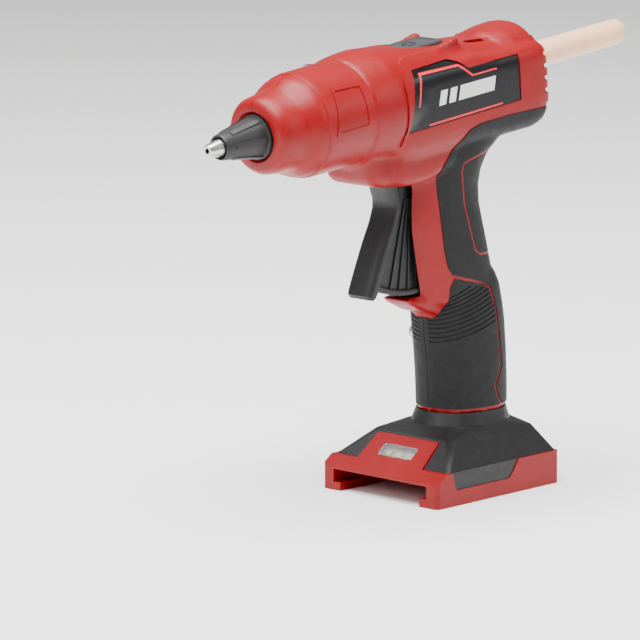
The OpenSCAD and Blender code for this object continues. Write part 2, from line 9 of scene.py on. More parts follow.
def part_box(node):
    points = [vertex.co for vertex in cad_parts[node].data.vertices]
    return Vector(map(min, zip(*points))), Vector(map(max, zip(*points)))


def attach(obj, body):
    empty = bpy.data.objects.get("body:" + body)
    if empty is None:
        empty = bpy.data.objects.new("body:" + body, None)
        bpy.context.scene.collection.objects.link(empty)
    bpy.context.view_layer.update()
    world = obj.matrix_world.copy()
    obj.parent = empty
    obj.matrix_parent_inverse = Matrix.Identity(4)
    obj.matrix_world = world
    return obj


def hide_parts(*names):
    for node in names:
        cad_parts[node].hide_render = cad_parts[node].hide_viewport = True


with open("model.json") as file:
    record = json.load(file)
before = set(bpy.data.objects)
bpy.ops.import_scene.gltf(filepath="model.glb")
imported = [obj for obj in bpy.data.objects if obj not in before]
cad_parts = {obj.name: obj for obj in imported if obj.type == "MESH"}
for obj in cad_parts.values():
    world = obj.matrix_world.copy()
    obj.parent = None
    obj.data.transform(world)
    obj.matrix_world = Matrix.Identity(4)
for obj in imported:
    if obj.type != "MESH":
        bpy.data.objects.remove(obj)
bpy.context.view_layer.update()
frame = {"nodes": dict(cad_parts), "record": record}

bl_info = {
    "name": "Cordless Glue Gun",
    "version": (1, 0, 0),
    "blender": (4, 5, 0),
    "location": "3D View > Sidebar > Glue Gun",
    "description": "Dresses a cordless hot glue gun around its fixed frame",
    "category": "Object",
}

MM = 0.001
RING = 72          # points round a lofted section
SPIN_STEPS = 96    # steps round a turned piece
ROD_SIDES = 40     # sides of a round bar
WELD = 2e-6        # m, joins points of the frame's meshes
SPIN_WELD = 8e-6   # m, joins points of a turned piece on its axis
FAR = 60.0         # mm, past every surface of the gun

# The feed axis: its tip at the nozzle, and how far its front leans down
TIP = (139.2, 158.3)
TILT = math.radians(5.9)
PIVOT = (24.0, 141.0)
TAIL_S = -183.2

# Places along the feed axis are s (mm back from the tip, negative) and z' (mm above the axis)
# Body sections: s, half width, top, bottom, squareness
UPPER = [(-75.5, 21.9, 21.9, -21.9, 2), (-76.6, 22.9, 22.9, -22.9, 2), (-84, 23.7, 23.7, -23.7, 2),
         (-91, 23.9, 23.9, -23.9, 2.1), (-96, 23.1, 23.3, -23, 2.2), (-101, 22.5, 22.7, -22, 2.3),
         (-110, 22, 22.2, -21, 2.3), (-120, 21.6, 20.6, -20, 2.3), (-135, 21, 18.8, -20, 2.3),
         (-145, 20.6, 17.6, -20, 2.3), (-152, 20, 16.6, -20, 2.3), (-162, 20, 15.6, -20, 2.3),
         (-168, 20, 15.2, -20, 2.3)]
SIDES = [(-88, 20, 12, -20, 4.5), (-96, 21.6, 14, -23, 5), (-104, 22, 14.8, -24, 5.2),
         (-140, 22.2, 14.2, -24.8, 5.2), (-152, 22.2, 12.2, -25.2, 5.2), (-176, 22.2, 12, -25.6, 5.2),
         (-181, 21.8, 11.6, -24.6, 5), (-183.2, 21.2, 11, -23.4, 4.8)]
HUMP = [(-155, 14, 14, -10, 2.1), (-159, 16.6, 16.2, -10, 2.1), (-163.5, 18.4, 17.9, -10, 2.15),
        (-170, 19.3, 18.8, -10, 2.2), (-178, 19.4, 19.2, -10, 2.2), (-182, 19, 18.8, -10, 2.2),
        (-183.2, 18.4, 18.2, -10, 2.2)]
# Handle sections: height, front, rear, half width
HANDLE_LOW = [(33, 6.6, -34.2, 17.1), (45, 7.2, -34.0, 17.2), (58, 8.4, -33.3, 17.2),
              (70, 10, -32.2, 17.2), (78, 11.2, -30.8, 17), (86, 12.2, -29, 16.6), (92, 12.6, -26, 15.8)]
HANDLE_UP = [(78.5, 18, -25.4, 13), (82, 23.6, -27.4, 15.8), (88, 24.2, -26.2, 16.4),
             (95, 25.6, -23.4, 16.5), (104, 27.2, -21, 16.5), (113, 29, -18.4, 16.4),
             (122, 29, -15.8, 16.4), (130, 28.4, -15, 16.8), (137, 29, -16.4, 17.4),
             (144, 31, -20.4, 18.2), (150, 33, -28, 18.8), (156, 33, -36, 19)]
# Side outlines, X and Z, of the forms that blend into the body
CHIN = [(59.6, 152), (58.2, 144), (56.8, 138.6), (54.6, 135.8), (50, 134.5), (40, 133.8), (33, 134),
        (24, 135), (10, 140), (0, 160), (56, 165)]
CHEEKS = [(47, 152), (46.4, 139), (44, 134.4), (33, 134), (24, 135), (10, 140), (0, 160), (44, 165)]
LEDGE = [(6, 74.8), (17, 77.5), (26.5, 82.2), (28.6, 84.6), (6, 85)]
RAIL = [(27, 187), (14, 190.2), (4, 193.4), (2.4, 192.6), (1.8, 186), (20, 182)]
RAIL_WIDTH = 3.8
# Barrel's outline: s and radius
BARREL = [(-27.3, 0), (-27.3, 13.2), (-28.2, 14.7), (-30, 16), (-34, 16.5), (-39, 17.1), (-42, 18.1),
          (-44.5, 19.9), (-47, 20.9), (-49.3, 21.1), (-49.9, 21.7), (-52, 22), (-70, 22.1), (-80, 22.4),
          (-92, 20), (-92, 0)]

# Outlines on the side, X and Z
GRIP = [(-60, 161.3), (-19, 159.2), (0, 157.2), (6, 155), (10, 150.2), (17.5, 141.3), (18.6, 138.2),
        (17.5, 129), (13, 104.2), (11, 97), (8.5, 93.6), (-8.5, 88.8), (-13.5, 86.2), (-17, 77),
        (-21.6, 51.5), (-16.5, 43.5), (-18.5, 38), (-22, 34.8), (-60, 34.8), (-60, 120)]
PAD = [(-60, 145), (-11.5, 144.2), (1.2, 141.7), (4.8, 140.2), (5.4, 137), (3.2, 124.2), (-4, 103.2),
       (-7, 101.3), (-60, 97.5)]
PAD_SEAM = [(-60, 145.9), (-11.4, 145.1), (1.6, 142.6), (5.6, 140.7), (6.3, 137), (4.1, 124),
            (-3.3, 102.6), (-6.8, 100.4), (-60, 96.6)]
LOWER_GRIP = [(40, 34.8), (40, 70), (10, 74), (9, 84), (9, 88), (7.4, 91.8), (-8.8, 87.8), (-12.5, 85.5),
              (-16, 77), (-20.4, 51.8), (-15.2, 43.5), (-17.2, 38.5), (-20, 34.8)]
PANEL = [(39.6, 183.3), (44, 157.6), (-25.5, 165), (-23.8, 184.6), (7.5, 181.6), (12, 184.6), (16, 185.6)]
SIDE_PLATE = [(46.6, 152), (45, 159.6), (46.6, 178), (44, 186), (40, 188.2), (8, 190.4), (-60, 190.4),
              (-60, 163.2), (-19, 161.1), (1, 159), (8, 156.6), (18, 150)]
PANEL_TRIM = [[(37.4, 168), (38.4, 168), (36.4, 181.8), (35.4, 180.8)],
              [(35.4, 180.8), (36.4, 181.8), (12.4, 183.5), (12.8, 182.6)],
              [(12.4, 183.5), (12.8, 182.6), (5.4, 177.9), (4.8, 178.7)],
              [(4.8, 178.7), (5.4, 177.9), (-10, 179.4), (-10, 180.2)],
              [(31.6, 159.5), (31.4, 160.4), (-14, 165.2), (-14, 164.4)]]
PANEL_BARS = [[(25.6, 167.4), (24.4, 173.6), (20.4, 174), (21.6, 167.8)],
              [(19.6, 168), (18.4, 174.2), (14.4, 174.6), (15.6, 168.4)],
              [(13.6, 168.6), (12.4, 174.8), (-9.4, 176.9), (-8.4, 170.8)]]
FRAME_OUT = [(66.6, 162.6), (86.6, 160.6), (84.4, 180), (68, 181)]
FRAME_IN = [(68, 163.9), (85, 162.1), (83.2, 178.7), (69.2, 179.6)]
SLOT = [(24, 141), (37, 136), (45, 136), (45, 84.9), (10, 84.9), (-12, 90), (-18, 104), (8, 141)]
SLOT_HALF = 7.4
WHOLE_SIDE = [(-240, 20), (240, 20), (240, 240), (-240, 240)]

# Openings in the shell: turned outlines of s and radius, and ranges of s, Y and z'
MOUTH = [(-20, 0), (-20, 10.9), (-27, 10.9), (-28.2, 9.7), (-36, 9.7), (-36, 0)]
INLET = [(TAIL_S + 9, 0), (TAIL_S + 9, 8.4), (TAIL_S + 0.8, 8.4), (TAIL_S - 6, 12), (TAIL_S - 6, 0)]
BUTTON_HOLE = ((-136.1, -107.7), (-7.7, 7.7), (13, 40))
SLIT_S, SLIT_Y, SLIT_Z = (-158.5, -146.5), 8.2, (13, 30)
NOTCHES, NOTCH_TOP, NOTCH_STEP, NOTCH_HIGH = 5, 12.4, 5.2, 2.3
# Screw heads: X, Z and the Y that they sit at
SCREWS = [(92, 147.4, -9.4), (64, 147.8, -9.4), (70, 183.3, -9.4), (-8, 184.4, -14.5),
          (-34, 161, -14.5), (0, 112, -9.6), (4, 66, -9.6)]
SCREW_HOLE_R = 3.1

# Ribs of the lower grip: how many, the first one's heights at the front and rear, and their steps
RIBS, RIB_FRONT, RIB_REAR = 11, (61.8, 1.93), (71.4, 2.25)
RIB_FRONT_X, RIB_STOP_X, RIB_INNER_Y = 16, -15.2, 2.6
RIB_SPAN = 29          # mm from front to rear that the heights are given over
FULL_RIBS, RIB_SHORTER = 7, 3.6

# Power button: its boxes as ranges of s, Y and z', and its printed sign
KEY = ((-135.6, -108.2), (-7.2, 7.2), (13, 20.4))
KEY_DISH = ((-132.6, -111.2), (-5.4, 5.4), (20.05, 24))
KEY_FLANGE = ((-136.5, -107.3), (-8.1, 8.1), (12.9, 13.8))
SIGN_S, SIGN_Z, SIGN_HIGH = -121.9, 19.9, 0.32
SIGN_RADII, SIGN_GAP, SIGN_STEPS = (2.35, 3.1), 35, 33
SIGN_BAR = [(1.2, -0.4), (1.2, 0.4), (3.9, 0.4), (3.9, -0.4)]

# Trigger blade: front X, Z, rear X, Z, half width
BLADE = [(40.6, 136.2, 33, 137.4, 6.9), (38.2, 131.2, 31.8, 131.2, 7), (36.3, 127, 31.3, 127, 7),
         (36.1, 123.2, 31.2, 123, 7), (38.2, 117.8, 32.6, 116.4, 7), (42.6, 109.4, 36.6, 107, 7),
         (47, 99.6, 40.8, 97.2, 7), (50.3, 91.6, 44.2, 89.4, 7), (51.3, 88.6, 45.8, 87, 6.8),
         (50.5, 87, 46.9, 86.2, 5.8)]
# The fan behind it, round the pivot: radii in mm, angles in degrees from straight down
WEB_R, RIM_R, RIB_IN_R, RIB_OUT_R = 55.0, 52.4, 14, 53.0
FAN_START, FAN_SWEEP, FAN_STEPS = -13.2, 38.5, 12
FAN_RIBS, FAN_RIB_HALF = (-10, -4, 2, 8, 14), 0.55
FAN_FRONT = [(43, 96), (38, 106), (33.5, 116), (32.4, 130)]
FORK_LOW = 134.5       # Z that the trigger's fork is kept above

# How far the foot's top leans back, the Z that it starts at, and the height it grows over
LEAN, LEAN_FROM, LEAN_OVER = 2.2, 14.3, 12
STICK_R, STICK_STEPS = 5.6, 24


def linear(code):
    """Turns an sRGB hex value into a linear colour."""
    parts = [int(code[i:i + 2], 16) / 255 for i in (1, 3, 5)]
    return tuple(c / 12.92 if c <= 0.04045 else ((c + 0.055) / 1.055) ** 2.4 for c in parts)


def colour(name, description, code):
    return bpy.props.FloatVectorProperty(name=name, description=description, subtype="COLOR", size=3,
                                         min=0, max=1, default=linear(code))


def length(name, description, millimetres):
    return bpy.props.FloatProperty(name=name, description=description, default=millimetres * MM, min=0,
                                   subtype="DISTANCE", unit="LENGTH")


class GlueGunSizes(bpy.types.PropertyGroup):
    wall: length("Shell wall", "Thickness of the moulded shell", 2.4)
    grip_proud: length("Grip proud", "How far the soft grips stand above the shell", 0.35)
    grip_depth: length("Grip depth", "How deep the soft grips sit in the shell", 1.5)
    plate_proud: length("Side plate proud", "How far the plate round the side panel stands up", 0.6)
    rib_width: length("Rib groove", "Width of the grooves between the grip's ribs", 0.95)
    mould_grid: length("Moulding grid", "Grid that blends the shell's forms", 1.1)


class GlueGunColours(bpy.types.PropertyGroup):
    shell: colour("Shell", "Moulded red shell", "#840007")
    grip: colour("Grip", "Soft black rubber", "#0c0c0d")
    hard: colour("Hard black", "Moulded black nylon", "#0f0f10")
    panel: colour("Panel", "Printed side film", "#08090d")
    button: colour("Button", "Moulded grey button", "#343538")
    glue: colour("Glue", "Hot-melt glue", "#f3c39d")
    floor: colour("Floor", "Pale floor", "#f4f4f3")


# ------------------------------------------------------------------ mesh tools

def axial(s, y, z):
    """A point given by its place along the feed axis."""
    return Vector((TIP[0] + s * math.cos(TILT) + z * math.sin(TILT), y,
                   TIP[1] - s * math.sin(TILT) + z * math.cos(TILT))) * MM


def crease(bm, angle):
    """Shades a bmesh smooth apart from edges sharper than the angle."""
    limit = math.radians(angle)
    for face in bm.faces:
        face.smooth = True
    for edge in bm.edges:
        edge.smooth = len(edge.link_faces) == 2 and edge.calc_face_angle(0) < limit


def make(bm, name, angle=35):
    """Closes a bmesh into an object."""
    crease(bm, angle)
    mesh = bpy.data.meshes.new(name)
    bm.to_mesh(mesh)
    bm.free()
    piece = bpy.data.objects.new(name, mesh)
    bpy.context.scene.collection.objects.link(piece)
    return piece


def drop(*pieces):
    """Removes pieces and their meshes."""
    for piece in pieces:
        mesh = piece.data
        bpy.data.objects.remove(piece)
        bpy.data.meshes.remove(mesh)


def settle(piece):
    """Applies a piece's modifiers."""
    depsgraph = bpy.context.evaluated_depsgraph_get()
    mesh = bpy.data.meshes.new_from_object(piece.evaluated_get(depsgraph))
    piece.modifiers.clear()
    piece.data = mesh
    return piece


def copy(piece, name):
    """A separate copy of a piece."""
    twin = piece.copy()
    twin.data = piece.data.copy()
    twin.name = name
    bpy.context.scene.collection.objects.link(twin)
    return twin


def carve(piece, how, *tools):
    """Cuts, joins or crosses a piece with closed tools, and removes the tools."""
    for tool in tools:
        step = piece.modifiers.new("Carve", "BOOLEAN")
        step.operation, step.solver, step.object = how, "MANIFOLD", tool
    settle(piece)
    if not piece.data.polygons:
        raise RuntimeError(f"{how} left nothing of {piece.name}")
    drop(*tools)
    return piece


def weigh(piece):
    """Lets a piece's large faces set its normals."""
    step = piece.modifiers.new("Normals", "WEIGHTED_NORMAL")
    step.keep_sharp = True
    return piece


def edge_smooth(piece, angle=35):
    """Clears a carved piece's slivers and sets its sharp edges."""
    bm = bmesh.new()
    bm.from_mesh(piece.data)
    bmesh.ops.dissolve_degenerate(bm, dist=1e-6, edges=bm.edges)
    crease(bm, angle)
    bm.to_mesh(piece.data)
    bm.free()
    return weigh(piece)


def squared(part, square):
    """Bends a sine or cosine so that its circle turns boxier above squareness 2."""
    return math.copysign(abs(part) ** (2 / square), part)


def closed(bm, verts):
    """The edges of a closed ring through the points."""
    return [bm.edges.new((verts[k - 1], verts[k])) for k in range(len(verts))]


def ring(bm, place, wide, top, bottom, square):
    """A closed ring, round at squareness 2 and boxier above it. Returns its edges."""
    verts = []
    for k in range(RING):
        turn = 2 * math.pi * k / RING
        c, s = math.cos(turn), math.sin(turn)
        z = (top if s >= 0 else -bottom) * squared(s, square)
        verts.append(bm.verts.new(place(wide * squared(c, square), z)))
    return closed(bm, verts)


def bridge(bm, loops):
    """Skins rings one after the other and caps both ends."""
    for a, b in zip(loops, loops[1:]):
        bmesh.ops.bridge_loops(bm, edges=a + b)
    for loop in (loops[0], loops[-1]):
        bmesh.ops.contextual_create(bm, geom=loop)
    bmesh.ops.recalc_face_normals(bm, faces=bm.faces)
    return bm


def axial_loft(rows):
    """A body through sections along the feed axis."""
    bm = bmesh.new()
    return bridge(bm, [ring(bm, lambda y, z, s=s: axial(s, y, z), *row) for s, *row in rows])


def handle_loft(rows, nose):
    """Level sections: a round rear of the half width, and a front of the given squareness."""
    bm = bmesh.new()
    loops = []
    for height, front, rear, wide in rows:
        middle = rear + wide + 2
        verts = []
        for k in range(RING):
            turn = 2 * math.pi * k / RING
            c, s = math.cos(turn), math.sin(turn)
            reach, square = (front - middle, nose) if c >= 0 else (middle - rear, 2.1)
            verts.append(bm.verts.new(Vector((
                middle + reach * squared(c, square), wide * squared(s, square), height)) * MM))
        loops.append(closed(bm, verts))
    return bridge(bm, loops)


def eased(bm, radius, segments):
    """Turns a closed bmesh's faces outwards and rounds its edges."""
    bmesh.ops.recalc_face_normals(bm, faces=bm.faces)
    if radius:
        bmesh.ops.bevel(bm, geom=list(bm.edges), offset=radius * MM, segments=segments, profile=0.5,
                        affect="EDGES", material=-1)
    return bm


def extrude(bm, faces, vec):
    """Gives flat faces a thickness."""
    grown = bmesh.ops.extrude_face_region(bm, geom=faces)
    verts = [v for v in grown["geom"] if isinstance(v, bmesh.types.BMVert)]
    bmesh.ops.translate(bm, verts=verts, vec=vec)


def slab(outline, low, high, radius=0.0, segments=3):
    """A side outline with a thickness from low to high, its edges along Y rounded."""
    bm = bmesh.new()
    face = bm.faces.new([bm.verts.new(Vector((x, low, z)) * MM) for x, z in outline])
    extrude(bm, [face], (0, (high - low) * MM, 0))
    return eased(bm, radius, segments)


def turned(points, steps=SPIN_STEPS):
    """Spins [s, radius] points about the feed axis."""
    bm = bmesh.new()
    verts = [bm.verts.new(axial(s, 0, r)) for s, r in points]
    edges = [bm.edges.new(pair) for pair in zip(verts, verts[1:])]
    centre = axial(0, 0, 0)
    bmesh.ops.spin(bm, geom=verts + edges, cent=centre, axis=(axial(1, 0, 0) - centre).normalized(),
                   angle=2 * math.pi, steps=steps, use_merge=True)
    bmesh.ops.remove_doubles(bm, verts=bm.verts, dist=SPIN_WELD)
    bmesh.ops.recalc_face_normals(bm, faces=bm.faces)
    return bm


def rod(x, z, radius, low, high):
    """A round bar across the gun."""
    bm = bmesh.new()
    turn = Matrix.Rotation(math.pi / 2, 4, "X")
    place = Matrix.Translation(Vector((x, (low + high) / 2, z)) * MM) @ turn
    bmesh.ops.create_cone(bm, cap_ends=True, segments=ROD_SIDES, radius1=radius * MM,
                          radius2=radius * MM, depth=(high - low) * MM, matrix=place)
    return bm


def block(s, y, z, radius=0.0, segments=3):
    """A box in the feed axis's frame from ranges of s, Y and z', with rounded edges."""
    bm = bmesh.new()
    bmesh.ops.create_cube(bm, size=1)
    for vert in bm.verts:
        pick = [span[0] if part < 0 else span[1] for span, part in zip((s, y, z), vert.co)]
        vert.co = axial(*pick)
    return eased(bm, radius, segments)


def gather(name, meshes):
    """Puts several bmeshes into one object, each still closed."""
    bm = bmesh.new()
    for part in meshes:
        mesh = bpy.data.meshes.new(name)
        part.to_mesh(mesh)
        part.free()
        bm.from_mesh(mesh)
        bpy.data.meshes.remove(mesh)
    return make(bm, name)


def remesh(piece, grid):
    """Gives a piece one new skin over a grid."""
    step = piece.modifiers.new("Grid", "REMESH")
    step.mode, step.voxel_size = "VOXEL", grid


def melt(piece, grid, passes):
    """Blends a piece's closed forms into one skin with soft inner corners."""
    remesh(piece, grid)
    step = piece.modifiers.new("Soften", "SMOOTH")
    step.factor, step.iterations = 0.5, passes
    return settle(piece)


def swollen(piece, name, distance, grid=0.0):
    """A copy moved out, or in where the distance is negative."""
    twin = copy(piece, name)
    step = twin.modifiers.new("Move", "DISPLACE")
    step.strength, step.mid_level = distance, 0.0
    if grid:
        remesh(twin, grid)
    return settle(twin)


def one_side(side, gap=0.0):
    """The range of Y on one side of the gun, from a gap at its middle outwards."""
    return (gap, FAR) if side > 0 else (-FAR, -gap)


def skin(name, outer, inner, outlines, side, gap=0.1):
    """The layer between two forms inside side outlines, on one side of the gun."""
    parts = []
    for outline in outlines:
        piece = copy(outer, name)
        carve(piece, "INTERSECT", make(slab(outline, *one_side(side, gap)), "outline"))
        parts.append(carve(piece, "DIFFERENCE", copy(inner, "inner")))
    whole = parts[0]
    if len(parts) > 1:
        carve(whole, "UNION", *parts[1:])
    whole.name = name
    return whole


def traced(node):
    """A bmesh of a frame node's mesh, with each flat face in one piece."""
    bm = bmesh.new()
    bm.from_mesh(frame["nodes"][node].data)
    bmesh.ops.remove_doubles(bm, verts=bm.verts, dist=WELD)
    bmesh.ops.dissolve_limit(bm, angle_limit=math.radians(1), verts=bm.verts, edges=bm.edges)
    return bm


def softened(name, node, width, angle, lean=None):
    """A rounded copy of a frame node's mesh, that stands for the node."""
    bm = traced(node)
    if lean:
        for vert in bm.verts:
            lean(vert.co)
    piece = make(bm, name, angle)
    step = piece.modifiers.new("Round", "BEVEL")
    step.width, step.segments, step.limit_method = width * MM, 2, "ANGLE"
    step.angle_limit = math.radians(angle)
    step.use_clamp_overlap = True
    step.harden_normals = True
    return weigh(piece)


def fit(piece, body, slot, *nodes):
    """Dresses a piece in a slot's material, and puts it on a body in place of its nodes."""
    piece.data.materials.clear()
    piece.data.materials.append(finish(slot))
    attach(piece, body)
    if nodes:
        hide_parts(*nodes)
    return piece


# ------------------------------------------------------------------ materials

def add(tree, kind, settings=(), links=()):
    """Adds a node with its socket values and the sockets that feed it."""
    node = tree.nodes.new(kind)
    for key, value in settings:
        node.inputs[key].default_value = value
    for key, source in links:
        tree.links.new(source, node.inputs[key])
    return node


def start(name):
    """A new material: its tree, its shader, and the object coordinates in millimetres."""
    material = bpy.data.materials.new(name)
    material.use_nodes = True
    tree = material.node_tree
    shader = tree.nodes["Principled BSDF"]
    place = add(tree, "ShaderNodeTexCoord").outputs["Object"]
    scaled = add(tree, "ShaderNodeMapping", [("Scale", (1000, 1000, 1000))], [("Vector", place)])
    return material, tree, shader, scaled.outputs["Vector"]


def stretched(tree, place, scale):
    """Coordinates along the feed axis, scaled so that a noise turns into marks."""
    return add(tree, "ShaderNodeMapping", [("Scale", scale), ("Rotation", (0, TILT, 0))],
               [("Vector", place)]).outputs["Vector"]


def grain(tree, place, size, detail, rough=0.5):
    """Noise whose patches are the given number of millimetres across."""
    return add(tree, "ShaderNodeTexNoise", [("Scale", 1 / size), ("Detail", detail), ("Roughness", rough)],
               [("Vector", place)]).outputs["Fac"]


def spread(tree, source, low, high):
    """Maps the middle of a noise's range onto a range of values."""
    limits = [("From Min", 0.3), ("From Max", 0.7), ("To Min", low), ("To Max", high)]
    return add(tree, "ShaderNodeMapRange", limits, [("Value", source)]).outputs["Result"]


def tinted(tree, source, dark, light):
    """Maps the middle of a noise's range onto two colours."""
    ramp = add(tree, "ShaderNodeValToRGB", links=[("Fac", source)])
    ramp.color_ramp.elements[0].position, ramp.color_ramp.elements[1].position = 0.3, 0.7
    ramp.color_ramp.elements[0].color = (*dark, 1)
    ramp.color_ramp.elements[1].color = (*light, 1)
    return ramp.outputs["Color"]


def relief(tree, height, depth_mm, strength=1.0, under=()):
    """A bump of the given depth, over another one if it is given."""
    return add(tree, "ShaderNodeBump", [("Strength", strength), ("Distance", depth_mm * MM)],
               [("Height", height), *under]).outputs["Normal"]


def feed(tree, shader, colour_from, rough_from, normal_from):
    """Links the shader's colour, roughness and normal."""
    for key, source in (("Base Color", colour_from), ("Roughness", rough_from), ("Normal", normal_from)):
        if source:
            tree.links.new(source, shader.inputs[key])


def put(shader, values):
    """Sets sockets of the shader."""
    for key, value in values.items():
        shader.inputs[key].default_value = value


def picked(name):
    """One of the panel's colours."""
    return tuple(getattr(bpy.context.scene.glue_gun_colours, name))


def shade(base, factor):
    """A darker or lighter colour."""
    return tuple(min(1.0, c * factor) for c in base)


def plain(name, base, rough, grain_mm, depth_mm, tone=0.08, spread_rough=0.06, speck=0.0, **sockets):
    """A moulded, rubber or enamelled surface: even colour, slight clouding and a fine relief."""
    material, tree, shader, place = start(name)
    cloud = grain(tree, place, 14, 3)
    wear = grain(tree, place, 3.2, 4, 0.6)
    normal = relief(tree, grain(tree, place, grain_mm, 2, 0.6), depth_mm)
    if speck:
        pits = add(tree, "ShaderNodeTexVoronoi", [("Scale", 1 / speck)], [("Vector", place)])
        normal = relief(tree, pits.outputs["Distance"], depth_mm, under=[("Normal", normal)])
    feed(tree, shader, tinted(tree, cloud, shade(base, 1 - tone), shade(base, 1 + tone)),
         spread(tree, wear, rough - spread_rough, rough + spread_rough), normal)
    put(shader, {key.replace("_", " "): value for key, value in sockets.items()})
    return material


def metal(name, base, rough, stretch, grain_mm, depth_mm):
    """A worked metal: the tool marks run along the short axis of the stretch."""
    material, tree, shader, place = start(name)
    marks = grain(tree, stretched(tree, place, stretch), grain_mm, 3, 0.6)
    cloud = grain(tree, place, 5, 3)
    feed(tree, shader, tinted(tree, cloud, shade(base, 0.86), shade(base, 1.06)),
         spread(tree, marks, rough - 0.08, rough + 0.1), relief(tree, marks, depth_mm))
    put(shader, {"Metallic": 1})
    return material


def red_abs():
    """Glass-filled ABS, spark-eroded mould: satin, with a fine even grain that softens its highlights."""
    return plain("ABS, moulded satin red", picked("shell"), 0.4, 0.55, 0.035, 0.05, 0.05, speck=0.9,
                 IOR=1.5, Specular_IOR_Level=0.3)


def soft_rubber():
    """Thermoplastic rubber, overmoulded: nearly black and matt, with a light sheen at grazing angles."""
    return plain("TPE rubber, overmoulded", picked("grip"), 0.62, 0.5, 0.045, 0.12, 0.06, speck=0.8,
                 IOR=1.45, Specular_IOR_Level=0.35)


def black_nylon():
    """Glass-filled nylon, moulded: dark grey with a fine grain and a dull shine."""
    return plain("Nylon, moulded black", picked("hard"), 0.46, 0.45, 0.04, 0.1, 0.07, speck=0.7, IOR=1.53,
                 Specular_IOR_Level=0.4)


def printed_film():
    """Polycarbonate film, printed on its back: smooth and dark, with the gloss of its clear face."""
    return plain("Polycarbonate film, printed", picked("panel"), 0.3, 0.8, 0.008, 0.06, 0.04,
                 IOR=1.5, Specular_IOR_Level=0.3, Coat_Weight=0.08, Coat_Roughness=0.16)


def grey_abs():
    """ABS, moulded grey: a finger-polished key."""
    return plain("ABS, moulded grey", picked("button"), 0.42, 0.5, 0.03, 0.1, 0.08, IOR=1.53)


def turned_nickel():
    """Nickel-plated brass, turned: bright, with fine rings round the feed axis."""
    return metal("Nickel plated brass, turned", linear("#c9c8c6"), 0.24, (3.0, 0.4, 0.4), 0.9, 0.006)


def black_silicone():
    """Silicone rubber, moulded: soft, satin and slightly dusty."""
    return plain("Silicone, moulded black", linear("#141415"), 0.5, 0.7, 0.03, 0.16, 0.08, IOR=1.43,
                 Sheen_Weight=0.1)


def red_silicone():
    """Silicone rubber, iron-oxide red."""
    return plain("Silicone, moulded red", linear("#b5562a"), 0.55, 0.7, 0.03, 0.1, 0.06, IOR=1.43)


def cast_aluminium():
    """Aluminium, die cast: dull grey with a pebbled skin."""
    return metal("Aluminium, die cast", linear("#b9bbbe"), 0.48, (1, 1, 1), 0.9, 0.03)


def fired_ceramic():
    """Alumina, fired: chalky off-white."""
    return plain("Alumina, fired", linear("#d9d6ca"), 0.7, 0.4, 0.02, 0.06, 0.05, IOR=1.76)


def phenolic():
    """Phenolic resin, moulded: brown, heat resistant, with flow marks."""
    return plain("Phenolic, moulded", linear("#6f5a3c"), 0.5, 0.6, 0.03, 0.22, 0.08, IOR=1.6)


def spring_steel():
    """Spring steel, drawn: grey with lengthwise marks."""
    return metal("Spring steel, drawn", linear("#b3b5b8"), 0.3, (0.4, 1.2, 1.2), 0.5, 0.008)


def plated_steel():
    """Steel, zinc plated: pale, slightly blue and finely mottled."""
    return metal("Steel, zinc plated", linear("#b6b9bf"), 0.34, (1, 1, 1), 0.6, 0.01)


def grey_acetal():
    """Acetal, moulded: slippery mid grey."""
    return plain("Acetal, moulded grey", linear("#5b5e63"), 0.36, 0.6, 0.02, 0.06, 0.05, IOR=1.48)


def solder_mask(name, code):
    """Epoxy board under solder mask: glossy, with the weave just showing."""
    return plain(name, linear(code), 0.3, 0.9, 0.02, 0.14, 0.06, IOR=1.52, Coat_Weight=0.3)


def wire_sleeve(name, code):
    """PVC, extruded: smooth and slightly glossy."""
    return plain(name, linear(code), 0.32, 1.2, 0.01, 0.08, 0.05, IOR=1.54)


def stamped_brass():
    """Brass, stamped: yellow with rolling marks."""
    return metal("Brass, stamped", linear("#d8b35a"), 0.28, (0.3, 1.5, 1.5), 0.5, 0.006)


def clear_polycarbonate():
    """Polycarbonate, polished moulding: clear, with a faint grey-blue tint in soft patches."""
    material, tree, shader, place = start("Polycarbonate, clear")
    ripple = grain(tree, place, 6, 1)
    feed(tree, shader, tinted(tree, ripple, (0.9, 0.93, 0.95), (0.97, 0.98, 0.99)), None,
         relief(tree, ripple, 0.03, 0.6))
    put(shader, {"Roughness": 0.06, "IOR": 1.58, "Transmission Weight": 0.92})
    return material


def hot_melt():
    """Hot-melt glue, extruded: pale, cloudy and waxy, with light passing into it."""
    base = picked("glue")
    material, tree, shader, place = start("EVA hot-melt glue, extruded")
    cloud = grain(tree, place, 7, 4)
    lines = grain(tree, stretched(tree, place, (0.08, 1.4, 1.4)), 0.9, 3)
    feed(tree, shader, tinted(tree, cloud, shade(base, 0.93), shade(base, 1.04)),
         spread(tree, lines, 0.26, 0.4), relief(tree, lines, 0.02))
    put(shader, {"IOR": 1.48, "Subsurface Weight": 0.6, "Subsurface Radius": (1.0, 0.7, 0.5),
                 "Subsurface Scale": 3 * MM})
    return material


